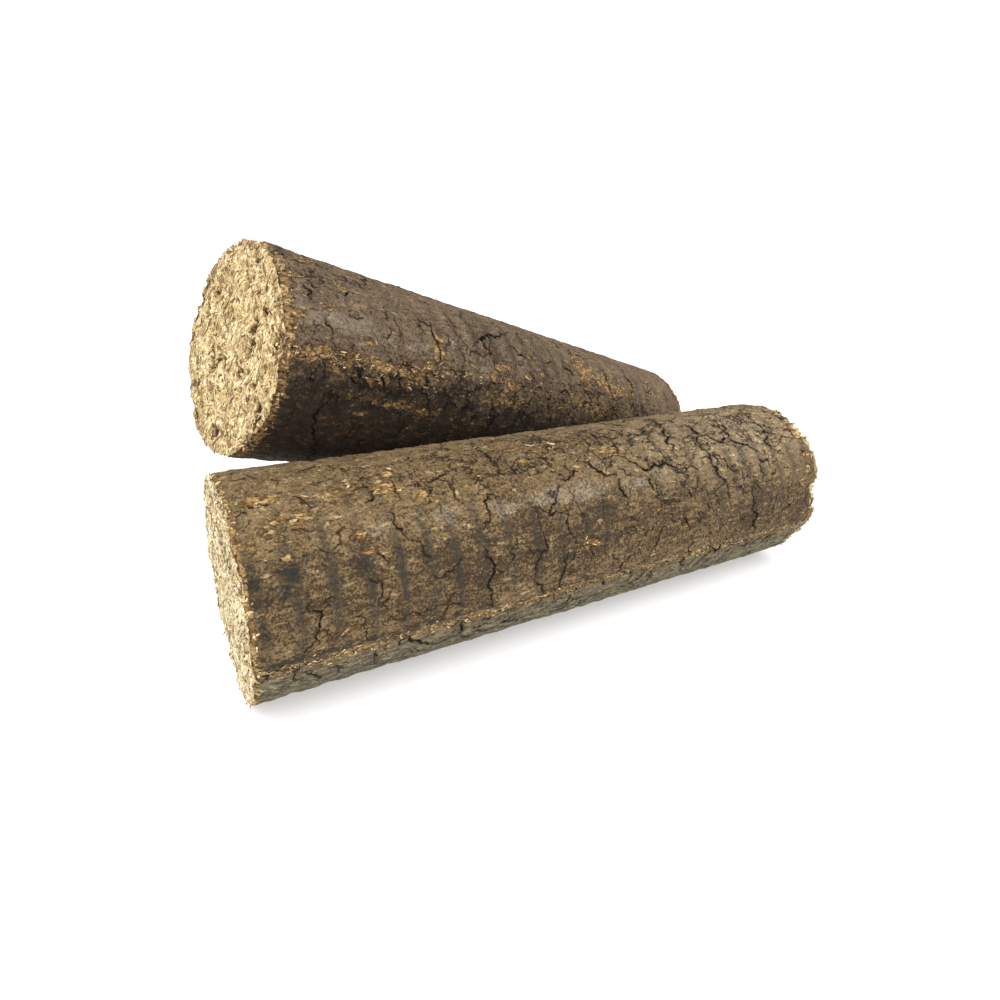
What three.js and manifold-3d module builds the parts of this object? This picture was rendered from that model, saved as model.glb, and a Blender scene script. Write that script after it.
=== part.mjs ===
// A small bundle of firewood: two round logs pressed from bark and sawdust.
// The front log lies on the ground. The rear log leans on it: its near end is in the air,
// its far end stands behind the front log on the worn corner of its rim.
// Millimetres, +Z up, +X along the front log from its near end to its far end.
// The origin is under the middle of the bundle, on the ground.

import * as THREE from "three";
import { mergeVertices } from "three/addons/utils/BufferGeometryUtils.js";
import Module from "manifold-3d";

// Driving dimensions.
const logRadius = 45; // the bore of the press die
const logLength = 300;
const strokeCount = 25; // one for each push of the press
const strokeGroove = 0.45; // depth of the ring that each push leaves round the log
const columns = 40; // facets round a log

const flatHalfAngle = 14; // degrees of the underside that the cooling track flattened, each side
const seamDepth = 0.9; // the split line of the die leaves a furrow
const seamHalfWidth = 2.2; // degrees
const seamsApart = 180;

const leanAngle = 15.9; // degrees that the rear log drops from its near end to its far end
const crossAngle = 12.05; // degrees between the two logs, seen from above
const touchPoint = 112.7; // where the rear log crosses the front one, from its near end
const restingGap = 0.3; // clearance left where the logs touch
const footWear = 1.1; // what the ground has worn off the rear log's lowest corner

// One entry for each log. Angles run round the axis from the side that faces -Y, upwards.
const frontLog = {
  name: "front_log",
  seamAngle: -15.3,
  flatUnderside: true,
  nearRim: { back: 1.2, in: 1.4 },
  farRim: { back: 3.6, in: 2.6 },
  swirl: 0.6,
  colour: 0x6b5a45,
};
const rearLog = {
  name: "rear_log",
  seamAngle: 17.5,
  flatUnderside: false,
  nearRim: { back: 1.6, in: 1.8 },
  farRim: { back: 0.8, in: 0.8 },
  swirl: 2.9,
  colour: 0x4d4136,
};

const straightDown = -90; // degrees
const radians = THREE.MathUtils.degToRad;
const flatDepth = logRadius * Math.cos(radians(flatHalfAngle)); // from the axis to the flat

// The log's outline from the middle of its near end to the middle of its far end:
// x is the distance from the axis and y the distance along it.
function logProfile({ nearRim, farRim }) {
  const pitch = logLength / strokeCount;
  const points = [new THREE.Vector2(0, 0)];
  points.push(new THREE.Vector2(logRadius * 0.5, 0));
  points.push(new THREE.Vector2(logRadius - nearRim.in, 0));
  points.push(new THREE.Vector2(logRadius, nearRim.back));
  for (let stroke = 0; stroke < strokeCount; stroke += 1) {
    if (stroke > 0) points.push(new THREE.Vector2(logRadius, stroke * pitch));
    points.push(new THREE.Vector2(logRadius - strokeGroove, (stroke + 0.5) * pitch));
  }
  points.push(new THREE.Vector2(logRadius, logLength - farRim.back));
  points.push(new THREE.Vector2(logRadius - farRim.in, logLength));
  points.push(new THREE.Vector2(logRadius * 0.5, logLength));
  points.push(new THREE.Vector2(0, logLength));
  return points;
}

// How far a broken end stands out or falls back, at a place on its face.
function endRoughness(across, up, swirl) {
  const waves = Math.sin(across / 13 + swirl) * Math.cos(up / 17 - swirl);
  return 0.9 * waves + 0.5 * Math.sin((across + 2 * up) / 11 + 2 * swirl);
}

// The angle of each lathed column. They are evenly spaced, except that three of them are
// drawn to each seam, for its furrow, and one to each edge of the flat underside.
function columnAngles(log, seamAngles) {
  const step = 360 / columns;
  const angles = Array.from({ length: columns }, (_, i) => -i * step);
  const nearest = (angle) => Math.round(-angle / step) + columns;
  for (const seam of seamAngles) {
    const middle = nearest(seam);
    angles[(middle - 1) % columns] = seam + seamHalfWidth;
    angles[middle % columns] = seam;
    angles[(middle + 1) % columns] = seam - seamHalfWidth;
  }
  if (log.flatUnderside) {
    for (const edge of [straightDown - flatHalfAngle, straightDown + flatHalfAngle]) {
      angles[nearest(edge) % columns] = edge;
    }
  }
  return angles;
}

// A lathed bar along +X, with its furrows, its flat underside and its broken ends.
function logGeometry(log) {
  const profile = logProfile(log);
  const lathe = new THREE.LatheGeometry(profile, columns);
  const seamAngles = [log.seamAngle, log.seamAngle + seamsApart];
  const angles = columnAngles(log, seamAngles);
  const place = lathe.getAttribute("position");
  for (let i = 0; i < place.count; i += 1) {
    const { x: radius, y: along } = profile[i % profile.length];
    const angle = angles[Math.floor(i / profile.length) % columns];
    const onFace = along === 0 || along === logLength;
    const inFurrow = seamAngles.includes(angle) && !onFace;
    const reach = radius - (inFurrow ? seamDepth : 0);
    const across = -reach * Math.cos(radians(angle));
    let up = reach * Math.sin(radians(angle));
    if (log.flatUnderside) up = Math.max(up, -flatDepth);
    const rough = onFace ? endRoughness(across, up, along + log.swirl) : 0;
    place.setXYZ(i, along + rough, across, up);
  }
  lathe.deleteAttribute("normal");
  lathe.deleteAttribute("uv");
  return mergeVertices(lathe, 1e-3);
}

const wasm = await Module();
wasm.setup();

function solidFrom(geometry) {
  const merged = mergeVertices(geometry, 1e-3);
  return new wasm.Manifold(
    new wasm.Mesh({
      numProp: 3,
      vertProperties: new Float32Array(merged.getAttribute("position").array),
      triVerts: new Uint32Array(merged.index.array),
    }),
  );
}

function geometryFrom(solid) {
  const mesh = solid.getMesh();
  const geometry = new THREE.BufferGeometry();
  geometry.setAttribute("position", new THREE.BufferAttribute(mesh.vertProperties, 3));
  geometry.setIndex(new THREE.BufferAttribute(mesh.triVerts, 1));
  return geometry;
}

// Cuts off what a placed log would push below the ground, which leaves a flat foot.
function wornFlat(geometry, placed) {
  placed.updateMatrix();
  const ground = new THREE.BoxGeometry(3 * logLength, 3 * logLength, logRadius);
  ground.deleteAttribute("normal");
  ground.deleteAttribute("uv");
  ground.translate(0, 0, -logRadius / 2);
  ground.applyMatrix4(placed.matrix.clone().invert());
  return geometryFrom(solidFrom(geometry).subtract(solidFrom(ground)));
}

function logMesh(log) {
  const bark = new THREE.MeshStandardMaterial({
    color: log.colour,
    roughness: 0.85,
    metalness: 0,
  });
  const mesh = new THREE.Mesh(logGeometry(log), bark);
  mesh.name = log.name;
  return mesh;
}

// The front log lies on its flat, with its near end at x = 0.
function placeFrontLog(mesh) {
  mesh.position.set(0, 0, flatDepth);
}

// The rear log lies against the front one: the two axes pass at twice the radius, and the
// far end comes down until its lowest corner reaches the ground.
function placeRearLog(mesh, frontAxisHeight) {
  const lean = radians(leanAngle);
  const cross = radians(crossAngle);
  const direction = new THREE.Vector3(
    Math.cos(cross) * Math.cos(lean),
    Math.sin(cross) * Math.cos(lean),
    -Math.sin(lean),
  );
  const across = new THREE.Vector3(1, 0, 0).cross(direction).normalize();
  const apart = 2 * logRadius + restingGap;
  const nearest = new THREE.Vector3(touchPoint, 0, frontAxisHeight).addScaledVector(across, apart);
  const farHeight = logRadius * Math.cos(lean) - footWear;
  const beyond = (nearest.z - farHeight) / Math.sin(lean);
  const start = nearest.clone().addScaledVector(direction, beyond - logLength);
  mesh.position.copy(start);
  mesh.rotation.set(0, lean, cross, "ZYX");
}

const front = logMesh(frontLog);
const rear = logMesh(rearLog);
placeFrontLog(front);
placeRearLog(rear, front.position.z);
rear.geometry = wornFlat(rear.geometry, rear);

const bundle = new THREE.Group();
bundle.name = "firewood_bundle";
bundle.add(front, rear);

// The origin goes under the middle of the bundle.
const extent = new THREE.Box3().setFromObject(bundle, true);
const middle = extent.getCenter(new THREE.Vector3());
bundle.position.set(-middle.x, -middle.y, -extent.min.z);

export default bundle;
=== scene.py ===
# Firewood: two round logs pressed from bark and sawdust, lying loose against each other.
#
# Each log is first made lying along +X in a frame of its own: its near end at x = 0, its axis
# on the X axis, and angles round it counted from the side that faces -Y, upwards. In that
# frame its skin is cracked, roughened and strewn with shavings. Then it is put in its place.

import math

import bpy
import numpy as np
from mathutils import Matrix, Vector, geometry, kdtree


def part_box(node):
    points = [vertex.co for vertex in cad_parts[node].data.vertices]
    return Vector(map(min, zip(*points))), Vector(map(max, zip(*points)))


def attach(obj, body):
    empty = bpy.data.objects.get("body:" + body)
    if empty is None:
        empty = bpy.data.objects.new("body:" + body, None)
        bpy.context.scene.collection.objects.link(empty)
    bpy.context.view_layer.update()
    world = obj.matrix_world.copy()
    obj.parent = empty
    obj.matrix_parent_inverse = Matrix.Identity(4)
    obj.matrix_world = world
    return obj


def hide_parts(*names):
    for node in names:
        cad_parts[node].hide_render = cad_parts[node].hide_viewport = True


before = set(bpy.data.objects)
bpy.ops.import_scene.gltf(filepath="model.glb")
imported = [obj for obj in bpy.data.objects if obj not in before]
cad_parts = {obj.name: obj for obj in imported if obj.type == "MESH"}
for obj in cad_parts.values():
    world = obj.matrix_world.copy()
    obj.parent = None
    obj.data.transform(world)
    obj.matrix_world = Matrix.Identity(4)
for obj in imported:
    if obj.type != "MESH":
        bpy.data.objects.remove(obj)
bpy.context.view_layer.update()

MM = 0.001

# The press and its logs.
LOG_RADIUS = 45.0  # mm
LOG_LENGTH = 300.0
GIRTH = 2 * math.pi * LOG_RADIUS
STROKE_PITCH = 12.0  # mm of log for each push of the press
STROKE_SLANT = 4.0  # mm that a stroke ring leans back from the flank to the top
STROKE_WIDTH = 2.2  # mm, half the width of a ring's groove
STROKE_GROOVE = 0.45  # mm deep
SEAM_WIDTH = 1.8  # mm, the torn line where the die is split

# The skin's mesh.
SKIN_PITCH = 1.2  # mm between its points
SKIN_ROWS = round(GIRTH / SKIN_PITCH)
CRACK_STEP = 0.9  # mm between the points along a crack
CUT_ANGLE = -135.0  # degrees; the sheet of skin is rolled up and closed here

# How the logs lie.
LEAN_ANGLE = 15.9
CROSS_ANGLE = 12.05
TOUCH_POINT = 112.7  # mm from the front log's near end
RESTING_GAP = 0.3
FOOT_WEAR = 1.1
FLAT_HALF_ANGLE = 14  # degrees of the underside that is flat, each side of straight down


# --- The logs, as a bark presser would describe them ------------------------------------

# A crack is its width in mm and its corners, each (mm from the near end, degrees round).
FRONT_CRACKS = [
    (0.5, [(21, 16), (19.5, 12.5), (24, 9.5), (22.5, 5.5), (21, 0), (17, -7)]),
    (0.45, [(42, 20), (45.8, 14.5), (45, 10.5), (43.8, 7)]),
    (0.5, [(55, 49), (55.4, 41), (57.5, 37), (61, 33.5)]),
    (0.3, [(61, 33.5), (64, 30), (66, 24)]),
    (0.5, [(78, 20), (74, 15.7), (70, 14.6), (66.5, 14.6)]),
    (0.9, [(89, 22), (90.5, 17), (90.8, 7), (91.2, -1), (92, -11.5)]),
    (0.6, [(99, 45.8), (93, 46), (93, 42), (94, 38), (91, 35), (89.5, 31.5)]),
    (0.35, [(48, 0.3), (52, -3.4), (57, -1.3), (62, -0.2), (71, -0.3), (75.5, -3.4), (78, -6)]),
    (0.4, [(72, 1), (74.5, 4)]),
    (0.6, [(47.5, 56.5), (51, 59.3), (52.5, 63.5)]),
    (0.5, [(47, 72), (53, 70.5)]),
    (0.5, [(71, 65.7), (74, 63.5), (78.5, 64), (82, 66.2)]),
    (0.6, [(5.5, 86.5), (9, 87), (13.3, 88.5)]),
    (0.6, [(19.2, 84), (19.5, 76.5)]),
    (0.6, [(3, 61), (6.8, 61)]),
    (0.5, [(20, 49.2), (24.3, 47.6)]),
    (0.7, [(8, 66), (11, 64.5), (14.5, 65.7)]),
    (0.6, [(24, 67), (26.2, 64.3)]),
    (0.6, [(25, 61.2), (28.5, 59.2)]),
    (0.5, [(26.7, -23.6), (28.8, -24), (30.5, -27.3), (33.3, -27.9)]),
    (0.5, [(30, -28), (29.2, -34.5)]),
    (0.6, [(43, -19.5), (43.8, -25.5), (43.7, -32)]),
    (0.7, [(53, -15.8), (52.5, -22)]),
    (1.0, [(79.3, -17.5), (78.8, -27)]),
    (0.6, [(59.6, -28), (59.8, -34)]),
    (0.4, [(17.5, -22), (20, -26)]),
    (0.7, [(103, 82), (105.4, 76), (104.6, 70), (106, 62.5), (112.5, 59.8)]),
    (0.7, [(122.5, 68.9), (126.7, 68.3), (130.4, 65), (132, 61.4)]),
    (0.7, [(132, 49.7), (136.7, 50.3), (140, 52.4), (143, 53.4)]),
    (0.6, [(129, 46.5), (127, 43), (126, 40), (123, 37), (121, 33), (122, 31.7), (128, 31)]),
    (0.4, [(114, 38), (118.3, 35.4), (121, 32.7)]),
    (0.7, [(128.8, 30.6), (128.8, 24), (130.8, 19), (131.7, 14)]),
    (0.7, [(115.8, 24), (116.7, 20), (114, 12.5), (112.5, 9), (112.5, 4), (110.4, -0.5)]),
    (0.6, [(110.4, -1.3), (113.8, -5.5), (115.8, -9.8), (117.5, -13.2)]),
    (0.9, [(128.3, 9.3), (127, 0.8), (125, -6.6), (123.8, -13), (124.6, -15.5)]),
    (0.5, [(140, 8), (140.3, 1.5)]),
    (0.9, [(165, -2.4), (160.4, -4.5), (158.3, -8.7), (156.7, -13.6)]),
    (0.9, [(184, 10.4), (180, 5), (178, 2), (178.3, -3.2)]),
    (0.9, [(162.5, 44), (162, 37), (162.5, 28)]),
    (0.9, [(147.5, 59.3), (151.7, 54), (155, 50.8), (159, 47.6), (162, 46.5)]),
    (1.3, [(168.8, 60), (172.5, 54), (175.8, 49.7), (178.8, 46.5), (182.5, 47), (185.8, 50.3),
           (191.7, 49.7), (195.8, 45.5), (200, 41), (203.5, 40.5)]),
    (0.6, [(164, 50.8), (166.5, 47), (169, 45.5)]),
    (0.9, [(178.3, 41.5), (179, 37), (181, 32.5)]),
    (0.4, [(181, 32.5), (182.5, 25), (179, 19)]),
    (1.1, [(162, 87), (164, 83.5), (168, 79), (171.7, 74.2), (174, 73.6), (178, 74)]),
    (0.8, [(171.7, 74), (171.2, 68), (169, 62)]),
    (0.8, [(181, 84), (179, 76.5), (183, 74.8), (191.7, 74.2), (199, 75.2)]),
    (0.8, [(195.8, 17), (195.8, 12.5), (198.3, 8.3), (199.8, 4.5)]),
    (1.3, [(175, -17), (176, -22.6), (171.7, -27.9), (170, -33)]),
    (0.8, [(113.5, -20.8), (119.6, -16)]),
    (1.2, [(150.5, -17.5), (153, -21.5)]),
    (1.1, [(130, -34), (131.7, -32), (134, -27.5)]),
    (1.3, [(208, 95), (207, 80), (205, 73), (201.7, 64.6), (200.8, 57), (202, 52)]),
    (1.1, [(223.5, 78), (224, 72), (224.6, 66.7), (222.5, 64), (220, 60.3), (221, 55.5)]),
    (0.6, [(222.5, 64.3), (218, 66), (213, 64)]),
    (1.4, [(224, 66.5), (226.7, 65), (231.7, 61.4), (236.7, 56), (244, 56), (246.7, 53),
           (250, 51.8), (253, 48.7), (257.5, 45.5)]),
    (0.7, [(242.5, 79), (243.3, 68), (242.5, 56)]),
    (0.9, [(224.6, 53), (222.5, 47.6), (220.8, 43.3), (223, 38), (224.6, 31.7), (226.7, 27.4),
           (226, 21.5)]),
    (0.7, [(225, 47.6), (228.8, 47), (230.8, 41), (233, 36), (237.5, 31.5)]),
    (0.7, [(200, 30.6), (203.8, 23.6)]),
    (1.2, [(243, 23), (244, 17), (245.8, 11.5), (245.4, 5), (247, -4.5), (250, -13)]),
    (0.7, [(251.7, 38), (253.3, 31), (253.3, 25)]),
    (0.7, [(255, 39), (261, 34.3)]),
    (1.0, [(274, 90), (273, 84), (271, 75), (270.8, 68), (271.7, 62.5), (270, 55), (272, 46)]),
    (0.6, [(272, 50.5), (278, 50.8), (283, 52), (289, 49)]),
    (0.7, [(264.5, 80.5), (263, 73), (257.5, 70)]),
    (0.8, [(289, 41), (293, 39.5)]),
    (0.9, [(277.5, 9.3), (273, 5), (272.5, 0.5)]),
    (1.5, [(227.5, -8.5), (229, -14.5), (226.7, -18.8), (220, -18.8), (216.7, -24.7),
           (213, -28.4), (214, -34)]),
    (1.3, [(271.7, -17), (266.7, -21.5), (264, -24.5)]),
    (1.0, [(250.5, -15.5), (247.5, -19.5)]),
    (0.5, [(201.5, 43.5), (205, 43), (211, 40.5)]),
    (0.5, [(205, 43), (200.5, 35)]),
    (0.8, [(129, -18.6), (134, -17.6), (140, -16.6)]),
    (0.9, [(161.5, -17.6), (165, -16.6), (170, -16.3)]),
    (0.8, [(187, -16.2), (193, -16.4)]),
]

REAR_CRACKS = [
    (1.4, [(131, 60.6), (125, 54), (120.8, 51.5), (115.8, 49.4), (113.8, 51.5), (108, 49),
           (103.3, 43.6), (104.6, 37.8), (109.6, 35), (110.4, 28.5)]),
    (1.1, [(125.5, 46), (130, 40.4), (136, 39.2)]),
    (0.8, [(150.8, 39.4), (155, 40.5), (161, 41)]),
    (1.2, [(168, 41), (173.3, 39.4), (175.4, 35.5)]),
    (1.2, [(72.3, 45.5), (73.3, 36), (75, 31), (75.5, 22.4), (78, 18)]),
    (0.7, [(67, 43.5), (72.3, 44)]),
    (0.5, [(79, 17), (85, 13)]),
    (0.8, [(68.3, 14), (69, 5.4), (71.7, -2), (74, -12.6)]),
    (0.5, [(14, 1.2), (14.2, -6)]),
    (0.8, [(17.5, 29), (18, 25.5), (20.5, 22)]),
    (0.5, [(28.5, 34.8), (34.8, 34.5)]),
    (0.9, [(9, 46), (11, 39.5), (12.5, 36)]),
    (0.9, [(12.5, 49.5), (15.5, 46)]),
    (1.0, [(38, 63), (39.5, 57.5)]),
    (0.8, [(28.5, 46), (31, 50)]),
    (1.1, [(44, 80), (46, 69), (42, 62)]),
    (0.8, [(111.7, 8), (111.7, 1), (114.6, -7.5), (113, -16)]),
    (0.8, [(129, 5.4), (131.7, -2), (136, -7.3)]),
    (0.7, [(153, 17), (152, 10.7), (154.5, 4)]),
    (0.6, [(164, 16), (166, 11)]),
    (1.1, [(236, 57), (236.5, 47), (235.5, 33)]),
    (1.0, [(209, 50), (212, 38), (214, 25)]),
    (0.8, [(254, 45), (255, 33)]),
    (0.6, [(262, 43), (268, 42)]),
    (1.2, [(155, 68), (160, 66)]),
    (0.9, [(188, 62), (196, 58), (203, 60)]),
    (0.8, [(33, 14), (35, 6), (34, -2)]),
    (0.7, [(52, 12), (55, 3), (53, -8)]),
    (0.8, [(92, 10), (95, 1), (93, -10)]),
]

# A patch is its middle (mm, degrees), its half size (mm, degrees) and how strong it is.
# A pit in the near face is its place (mm across, mm up) and its size in mm.
# Glaze patches are smoother and glossier, and are painted a lighter grey: a painted sheen of the
# light.
FRONT_GLAZE_AND_PAINTED_SHEEN = [
    (125, 42, 14, 6, 1.0), (141, 41, 13, 6, 1.0), (102, 40, 7, 5, 0.9), (77, 42, 8, 6, 0.8),
    (170, 40, 8, 5, 0.9), (49, 43, 5, 6, 0.7), (190, 43, 12, 6, 0.6), (158, 53, 10, 5, 0.4),
    (215, 47, 12, 6, 0.45), (64, 41, 6, 5, 0.5), (28, 40, 8, 5, 0.3), (240, 45, 14, 6, 0.35),
]
FRONT_CHAR = [
    (3, 30, 4, 7, 1.0), (15, 30, 6, 6, 1.1), (9, 24, 6, 3, 0.8), (5, 5, 3, 4, 0.6),
    (17, -9.5, 6, 3, 0.7), (39, 28, 3, 5, 0.9), (11, 20, 9, 2.5, 0.8), (21, 36, 2, 3, 0.8),
    (64, 24, 3, 9, 0.6), (90, 26, 4, 5, 0.7),
    (52, 34, 3, 4, 0.5), (148, 29, 12, 6, 0.7), (152, 10, 8, 8, 0.55), (108, 30, 6, 5, 0.6),
    (126, 12, 7, 9, 0.6), (190, 30, 9, 7, 0.45), (140, 20, 18, 14, 0.35), (77, 8, 9, 8, 0.4),
    (262, 14, 5, 9, 0.4), (246, 5, 3, 12, 0.55), (217, 20, 4, 6, 0.4), (20, -10.6, 40, 2.4, 1.0),
    (70, -10.6, 30, 2.2, 0.8), (280, -11, 40, 2.5, 0.6), (150, -11.5, 60, 1.6, 0.5),
]
FRONT_TORN = [
    (12, 68, 7, 4, 1.1), (21, 55, 9, 4, 1.0), (5, 70, 4, 4, 0.6), (57, 63, 8, 4, 1.0),
    (72, 55, 8, 4, 0.9), (60, 74, 2.2, 3, 1.3), (83, 70, 4, 5, 0.8), (97, 62, 6, 4, 0.8),
    (3, 14, 5, 3, 1.0), (15.5, 37, 3, 2, 1.1), (42, 41, 4, 2.5, 0.9), (43.5, 33, 2.5, 2, 1.1),
    (107, 86, 6, 4, 0.9), (120, 67, 5, 3, 0.8), (165, 66, 8, 4, 0.9), (141, 11, 6, 3, 1.0),
    (290, 58, 4, 3, 1.2), (295, 37, 6, 2.5, 1.0), (291, 26, 4, 3, 1.0), (285, 84, 8, 6, 0.6),
    (245, 38, 5, 3, 0.7), (180, 20, 3, 3, 0.8), (221, 12, 8, 2, 0.7), (33, -1, 9, 3, 0.6),
    (52, 6, 5, 5, 0.5), (5, 45, 8, 12, 0.5), (40, 68, 30, 12, 0.55), (85, 60, 25, 10, 0.45),
    (30, 85, 40, 12, 0.45), (120, 60, 30, 14, 0.35), (0, -20, 6, 14, 0.6), (228, -1, 8, 5, 0.7),
    (13, 48, 8, 5, 0.6), (180, 53, 12, 6, 0.3), (296, -4, 6, 10, 0.6), (250, -22, 12, 4, 0.4),
    (135, 78, 50, 12, 0.58), (100, 52, 30, 8, 0.5), (165, 62, 30, 10, 0.5), (230, 70, 50, 20, 0.42),
]
REAR_GLAZE_AND_PAINTED_SHEEN = [
    (30, 30, 14, 6, 1.2), (15, 27, 9, 5, 1.0), (7, 33, 6, 5, 0.8), (64, 26, 9, 5, 0.9),
    (45, 27, 8, 5, 0.7), (88, 33, 16, 12, 0.5), (104, 24, 9, 9, 0.6), (8, 17, 6, 3, 0.7),
    (20, 52, 20, 6, 0.35), (130, 50, 25, 12, 0.35), (165, 45, 20, 12, 0.3),
]
REAR_CHAR = [
    (25, -28, 50, 26, 1.6), (80, -25, 60, 24, 1.5), (140, -20, 60, 20, 1.2),
    (220, -12, 70, 20, 0.9), (12, 2, 9, 5, 0.8), (48, -5, 12, 6, 0.9), (60, 12, 8, 4, 0.8),
    (50, -2, 70, 9, 0.85), (88, 6, 9, 8, 0.8), (30, 8, 7, 4, 0.6), (125, 8, 6, 6, 0.5),
    (145, 20, 8, 5, 0.5), (100, 8, 10, 8, 0.7), (165, 8, 12, 7, 0.6),
]
REAR_TORN = [
    (22, 11, 18, 5, 1.0), (46, 11, 14, 5, 0.95), (40, 3, 6, 4, 0.7), (56, 6, 8, 4, 0.6),
    (75, 28, 3.2, 9, 1.5), (67, 18, 12, 2.5, 1.1), (40, 22, 9, 2.5, 0.8), (20, 36, 4, 3, 0.9),
    (5, 53, 5, 5, 1.1), (5, 64, 8, 6, 0.9), (16, 70, 8, 6, 0.8), (28, 52, 6, 5, 0.8),
    (6, 28, 4, 3, 0.9), (118, 27, 9, 3, 1.0), (120, 16, 9, 8, 0.7), (136, 25, 5, 3, 0.8),
    (147, 30, 5, 3, 0.8), (38, -17, 6, 2, 0.8), (75, -16, 4, 4, 0.6), (110, 20, 4, 6, 0.8),
    (192, 42, 16, 14, 1.0), (210, 36, 12, 12, 1.1), (226, 35, 8, 10, 0.9), (172, 10, 10, 4, 0.6),
    (237, 40, 4, 12, 0.9), (2, 5, 3, 50, 0.6), (30, 63, 25, 12, 0.4), (255, 38, 8, 10, 0.6),
    (140, 42, 2, 4, 0.9), (200, 60, 20, 12, 0.4), (10, 8, 10, 3, 0.8),
    (45, 7, 50, 9, 0.72), (70, -9, 80, 8, 0.58), (120, 6, 40, 10, 0.62), (190, 14, 60, 18, 0.62),
    (60, -25, 90, 10, 0.44),
]

FRONT_LOG = {
    "node": "front_log",
    "seed": 11,
    "seam": (-15.3, -15.3),  # degrees at the near end and at the far end
    "strip_cracks": 64,
    "slick_below": 1.0,  # how much smoother the skin is below the seam
    "seam_strength": ([0, 300], [1.0, 0.9]),  # at these mm from the near end
    "rim_width": 2.6,  # mm of torn skin at each end
    "near_rim": (1.5, 1.6, 0.7),  # mm back from the face, mm in, how ragged it is
    "far_rim": (5.0, 3.0, 8.0),
    "cracks": FRONT_CRACKS,
    "drawn_angles": (-34, 88),
    "glaze": FRONT_GLAZE_AND_PAINTED_SHEEN,
    "char": FRONT_CHAR,
    # painted shade: patches that darken the skin, mostly on the flank
    "painted_shade": [(110, 14, 190, 24, 2.1), (250, 6, 80, 22, 2.0), (125, 74, 80, 20, 0.8)],
    "pale": [(252, 64, 60, 28, 1.2)],
    "netted": [(235, 65, 80, 45, 1.0), (130, 75, 70, 26, 0.85), (180, 15, 60, 15, 0.4)],
    "ringed": [(48, 20, 62, 28, 1.15), (110, 25, 40, 20, 0.8), (240, 35, 60, 28, 0.8)],
    "face_pits": [(-20, 30, 1.6), (-30, -5, 1.4), (-26, -24, 2.0), (10, 12, 1.5), (-8, -34, 1.6)],
    "face_crease": [(-32, 22), (-34, 8), (-30, -8), (-33, -20)],
    "torn": FRONT_TORN,
    "flat": True,
}
REAR_LOG = {
    "node": "rear_log",
    "seed": 23,
    "seam": (8.0, 18.0),
    "strip_cracks": 20,
    "slick_below": 0.0,
    "seam_strength": ([0, 70, 110, 300], [1.0, 0.8, 0.2, 0.3]),
    "rim_width": 6.0,
    "near_rim": (5.0, 3.0, 1.0),
    "far_rim": (2.5, 1.6, 1.0),
    "cracks": REAR_CRACKS,
    "drawn_angles": (-30, 75),
    "glaze": REAR_GLAZE_AND_PAINTED_SHEEN,
    "char": REAR_CHAR,
    # painted shade: patches that darken the skin, mostly on the underside, which the front log
    # shades
    "painted_shade": [(100, -14, 260, 32, 2.0), (160, 54, 34, 12, 0.5)],
    "pale": [(240, 48, 60, 24, 0.5), (30, 32, 30, 9, 0.5)],
    "netted": [(15, 60, 25, 25, 0.8), (200, 20, 80, 14, 0.8), (90, 0, 90, 18, 0.8)],
    "ringed": [(120, 42, 60, 22, 1.0), (210, 35, 60, 25, 0.7)],
    "face_pits": [(-33, -24, 3.2), (-28, -33, 3.0), (12, -24, 2.2), (-16, 12, 2.6),
                  (-24, 17, 2.0), (-8, 38, 2.2), (-1, 30, 1.7), (24, 20, 1.8), (-37, 6, 2.2),
                  (-36, -10, 1.8), (28, -20, 1.6), (4, -36, 1.8)],
    "face_crease": [(6, 9), (7, 2), (9, -5), (14, -11), (21, -13)],
    "torn": REAR_TORN,
    "flat": False,
}


# --- Small helpers for node trees -------------------------------------------------------

class Value:
    """A value in a node tree. Arithmetic on it adds the nodes that work it out."""

    def __init__(self, socket):
        self.socket = socket

    def __add__(self, other):
        return maths("ADD", self, other)

    def __sub__(self, other):
        return maths("SUBTRACT", self, other)

    def __rsub__(self, other):
        return maths("SUBTRACT", other, self)

    def __mul__(self, other):
        return maths("MULTIPLY", self, other)

    def __truediv__(self, other):
        return maths("DIVIDE", self, other)

    __radd__ = __add__
    __rmul__ = __mul__


def tree_of(*values):
    """The node tree that these values are in."""
    return next(value.socket.id_data for value in values if isinstance(value, Value))


def fill(node, inputs):
    """Sets a node's inputs to plain values, or joins them to other nodes."""
    for name, value in inputs.items():
        if isinstance(value, Value):
            node.id_data.links.new(value.socket, node.inputs[name])
        else:
            node.inputs[name].default_value = value


def new_node(tree, kind, inputs, **settings):
    node = tree.nodes.new(kind)
    for name, value in settings.items():
        setattr(node, name, value)
    fill(node, inputs)
    return node


def add(tree, kind, inputs, output=0, **settings):
    """One output of a new node."""
    return Value(new_node(tree, kind, inputs, **settings).outputs[output])


def maths(operation, *values, clamp=False):
    return add(tree_of(*values), "ShaderNodeMath", dict(enumerate(values)),
               operation=operation, use_clamp=clamp)


def vector_maths(operation, first, second=(0.0, 0.0, 0.0), output=0):
    return add(tree_of(first), "ShaderNodeVectorMath", {0: first, 1: second}, output,
               operation=operation)


def scaled(vector, factor):
    return add(tree_of(vector), "ShaderNodeVectorMath", {0: vector, "Scale": factor},
               operation="SCALE")


def stretched(place, along, across=1.0, up=1.0):
    """A place for a pattern, which comes out longer where a factor is smaller."""
    return vector_maths("MULTIPLY", place, (along, across, up))


def joined(tree, x=0.0, y=0.0, z=0.0):
    return add(tree, "ShaderNodeCombineXYZ", {"X": x, "Y": y, "Z": z})


def axes(vector):
    """A vector's three parts."""
    node = new_node(tree_of(vector), "ShaderNodeSeparateXYZ", {"Vector": vector})
    return [Value(socket) for socket in node.outputs]


def noise(place, per_mm, detail=3.0, roughness=0.55, distortion=0.0, output="Fac"):
    """Grey noise with this many lumps to the millimetre."""
    inputs = {"Vector": place, "Scale": per_mm / MM, "Detail": detail, "Roughness": roughness,
              "Distortion": distortion}
    return add(tree_of(place), "ShaderNodeTexNoise", inputs, output)


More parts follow.
